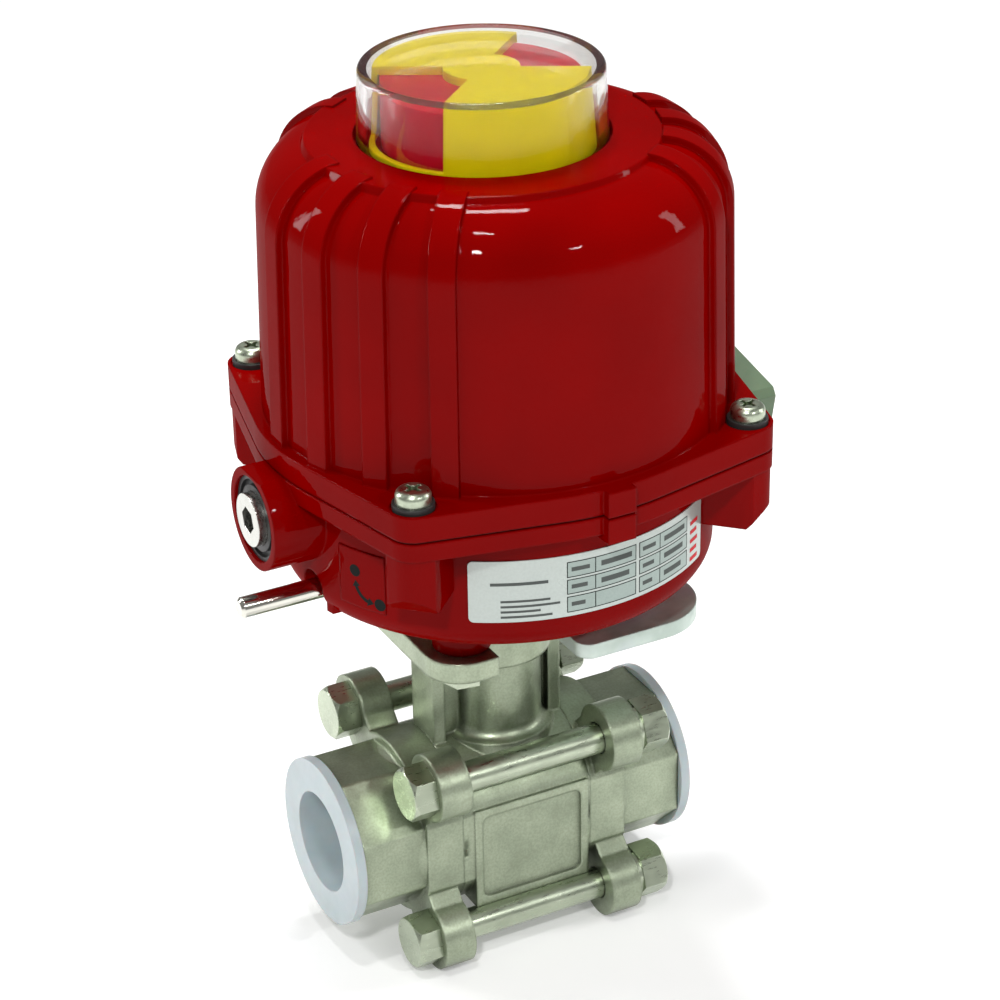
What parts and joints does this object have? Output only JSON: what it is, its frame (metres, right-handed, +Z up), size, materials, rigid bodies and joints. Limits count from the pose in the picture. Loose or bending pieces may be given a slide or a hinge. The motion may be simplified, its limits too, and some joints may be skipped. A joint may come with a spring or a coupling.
{
  "type": "motorized valve actuator",
  "caption": "Electric quarter-turn actuator with a domed position indicator, hand override and cable gland, mounted on a three-piece ball valve with threaded ports.",
  "frame": {"origin": "on the stem axis, in the plane that the valve's lower ears stand on", "axes": "+Z up along the stem, +X along the pipe towards the cable gland's side, -Y towards the nameplate"},
  "size_m": [0.152, 0.1233, 0.2335],
  "materials": {
    "red_enamel": "gloss",
    "cast_stainless": "bead blasted",
    "stainless": "satin",
    "polished_steel": "polished",
    "ground_steel": "ground",
    "zinc_plate": "zinc plated",
    "bronze": "sintered",
    "motor_can": "satin",
    "white_plastic": "satin, slightly translucent",
    "white_ptfe": "matt",
    "black_plastic": "matt",
    "grey_plastic": "matt",
    "black_rubber": "matt",
    "clear_plastic": "clear, polished",
    "yellow_plastic": "gloss",
    "red_plastic": "gloss",
    "silver_label": "satin foil",
    "black_label": "printed"
  },
  "bodies": {
    "root": {"valve_body": "cast_stainless", "end_cap_left": "cast_stainless", "end_cap_right": "cast_stainless", "body_seals": "white_ptfe", "ball_seats": "white_ptfe", "stem_packing": "white_ptfe", "gland_follower": "stainless", "body_bolts": "stainless", "body_nuts": "stainless", "spring_washers": "stainless", "mounting_plate": "zinc_plate", "mounting_screws": "stainless", "base_housing": "red_enamel", "cover": "red_enamel", "cover_gasket": "black_rubber", "cover_screws": "stainless", "screw_seals": "black_rubber", "window_gasket": "black_rubber", "window_dome": "clear_plastic", "stage_axle": "ground_steel", "gear_motor": "motor_can", "gear_plate": "zinc_plate", "plate_standoffs": "stainless", "plate_screws": "stainless", "lower_bush": "bronze", "upper_bush": "bronze", "shaft_seal": "black_rubber", "stop_pins": "ground_steel", "limit_switches": "black_plastic", "switch_bracket": "zinc_plate", "terminal_block": "grey_plastic", "capacitor": "motor_can", "heater": "motor_can", "manual_bush": "bronze", "manual_seal": "black_rubber", "gland_body": "grey_plastic", "gland_seal": "black_rubber", "gland_nut": "grey_plastic", "nameplate": "silver_label", "mode_label": "black_label"},
    "output": {"output_shaft": "ground_steel", "output_gear": "ground_steel", "limit_cams": "white_ptfe", "indicator_yellow": "yellow_plastic", "indicator_red": "red_plastic", "stem": "stainless", "stem_nut": "stainless", "ball": "polished_steel"},
    "stage": {"stage_gear": "ground_steel"},
    "motor_rotor": {"motor_pinion": "bronze"},
    "manual": {"manual_shaft": "ground_steel"},
    "lever": {"declutch_lever": "polished_steel", "declutch_shaft": "ground_steel", "declutch_cam": "ground_steel"},
    "plug_left": {"port_plug_left": "white_plastic"},
    "plug_right": {"port_plug_right": "white_plastic"}
  },
  "joints": [
    {"name": "output_turn", "type": "hinge", "parent": "root", "child": "output", "pos_m": [0, 0, 0.12], "axis": [0, 0, 1], "range_deg": [0, 90]},
    {"name": "stage_spin", "type": "hinge", "parent": "root", "child": "stage", "pos_m": [-0.0288, 0, 0.13], "axis": [0, 0, 1], "range_deg": [-450, 0]},
    {"name": "motor_spin", "type": "hinge", "parent": "root", "child": "motor_rotor", "pos_m": [-0.0307, 0.01548, 0.138], "axis": [0, 0, 1], "range_deg": [0, 1500]},
    {"name": "manual_spin", "type": "hinge", "parent": "root", "child": "manual", "pos_m": [-0.055, 0, 0.1293], "axis": [-1, 0, 0], "continuous": true},
    {"name": "declutch_swing", "type": "hinge", "parent": "root", "child": "lever", "pos_m": [-0.0435, -0.006, 0.1095], "axis": [0, -1, 0], "range_deg": [0, 90]},
    {"name": "plug_left_pull", "type": "slide", "parent": "root", "child": "plug_left", "axis": [-1, 0, 0], "range_m": [0, 0.08]},
    {"name": "plug_right_pull", "type": "slide", "parent": "root", "child": "plug_right", "axis": [1, 0, 0], "range_m": [0, 0.08]}
  ],
  "couplings": [
    {"joint": "stage_spin", "follows": "output_turn", "ratio": -5},
    {"joint": "motor_spin", "follows": "output_turn", "ratio": 16.667}
  ]
}
